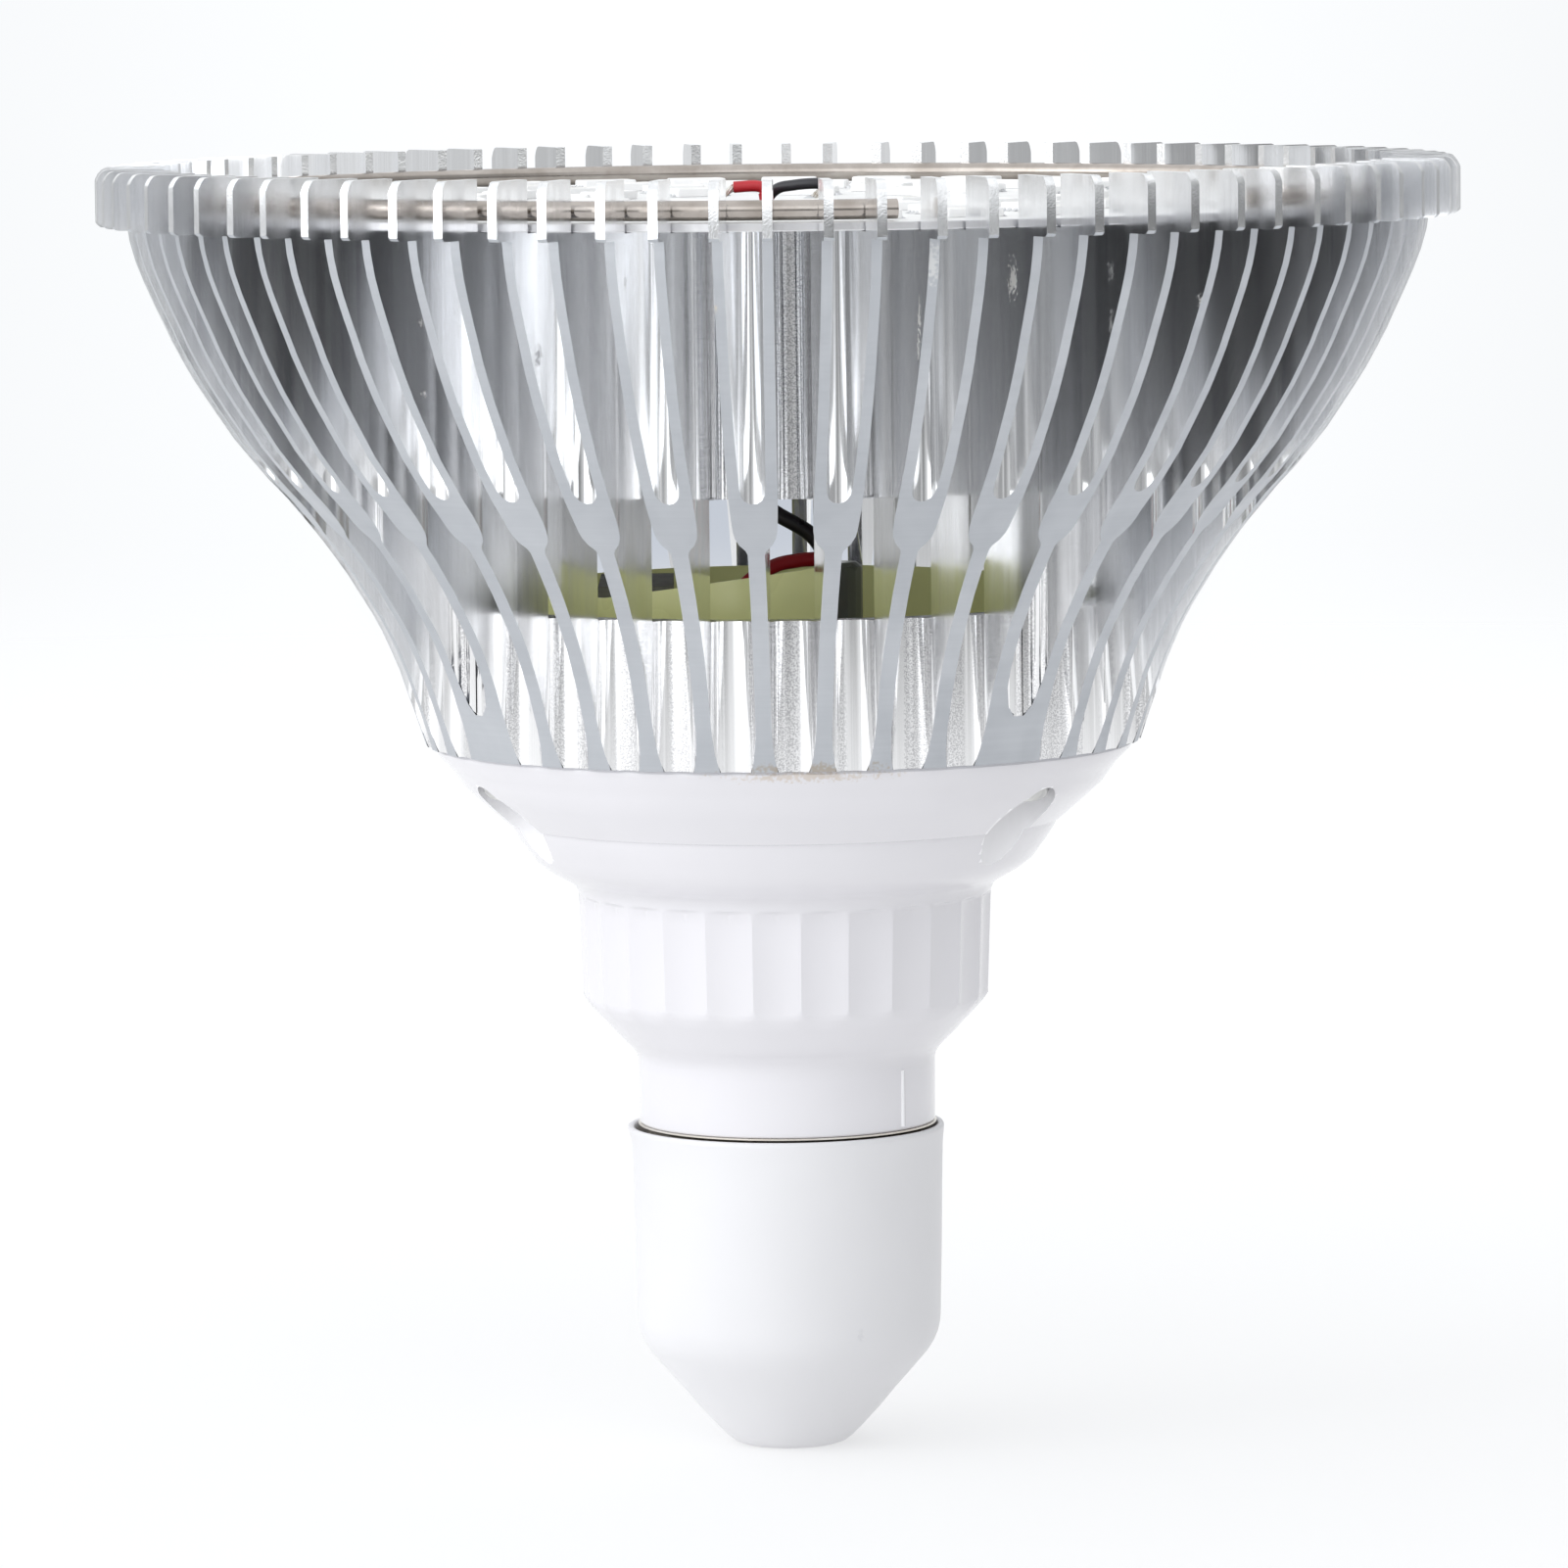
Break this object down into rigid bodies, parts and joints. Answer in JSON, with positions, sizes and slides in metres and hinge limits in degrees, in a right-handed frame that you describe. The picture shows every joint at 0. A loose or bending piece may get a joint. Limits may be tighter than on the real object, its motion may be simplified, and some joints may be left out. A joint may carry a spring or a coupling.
{
  "type": "led grow light bulb",
  "caption": "Reflector-shaped LED grow bulb with a radial forked-fin heat sink, open LED board, moulded housing and capped E27 screw base.",
  "frame": {"origin": "on the axis at the tip of the screw base's centre contact", "axes": "+Z along the axis from the screw base towards the LED face, -Y towards the picture's viewer, +X to the viewer's right"},
  "size_m": [0.1222, 0.1222, 0.1161],
  "materials": {
    "aluminium": "machined and extruded",
    "spring_wire": "bright drawn wire",
    "led_board": "white solder mask",
    "white_plastic": "glossy moulded",
    "cap_plastic": "satin moulded, slightly translucent",
    "nickel_plate": "plated sheet",
    "contact_brass": "bright",
    "base_insulator": "glossy black",
    "yellow_film": "thin insulating sheet",
    "driver_laminate": "green solder mask",
    "ferrite": "dull",
    "winding_tape": "taped",
    "capacitor_sleeve": "shrink sleeve",
    "dark_green_sleeve": "shrink sleeve",
    "film_capacitor_box": "moulded",
    "moulded_black": "moulded",
    "resistor_body": "cement coat",
    "red_insulation": "smooth",
    "black_insulation": "smooth",
    "brown_insulation": "smooth",
    "blue_insulation": "smooth",
    "zinc_screw": "zinc plated"
  },
  "bodies": {
    "bulb": {"heat_sink": "aluminium", "retaining_ring": "spring_wire", "led_board": "led_board", "insulating_film": "yellow_film", "driver_board": "driver_laminate", "transformer_core": "ferrite", "transformer_bobbin": "winding_tape", "bulk_capacitor": "capacitor_sleeve", "output_capacitor": "dark_green_sleeve", "film_capacitor": "film_capacitor_box", "bridge_rectifier": "moulded_black", "line_inductor": "ferrite", "driver_chip": "moulded_black", "fuse_resistor": "resistor_body", "red_wire": "red_insulation", "black_wire": "black_insulation", "live_wire": "brown_insulation", "neutral_wire": "blue_insulation", "housing": "white_plastic", "housing_screw_1": "zinc_screw", "housing_screw_2": "zinc_screw", "housing_screw_3": "zinc_screw", "screw_shell": "nickel_plate", "base_insulator": "base_insulator", "centre_contact": "contact_brass"},
    "cap": {"base_cap": "cap_plastic"}
  },
  "joints": [
    {"name": "cap_pull", "type": "slide", "parent": "bulb", "child": "cap", "axis": [0, 0, -1], "range_m": [0, 0.035]}
  ]
}
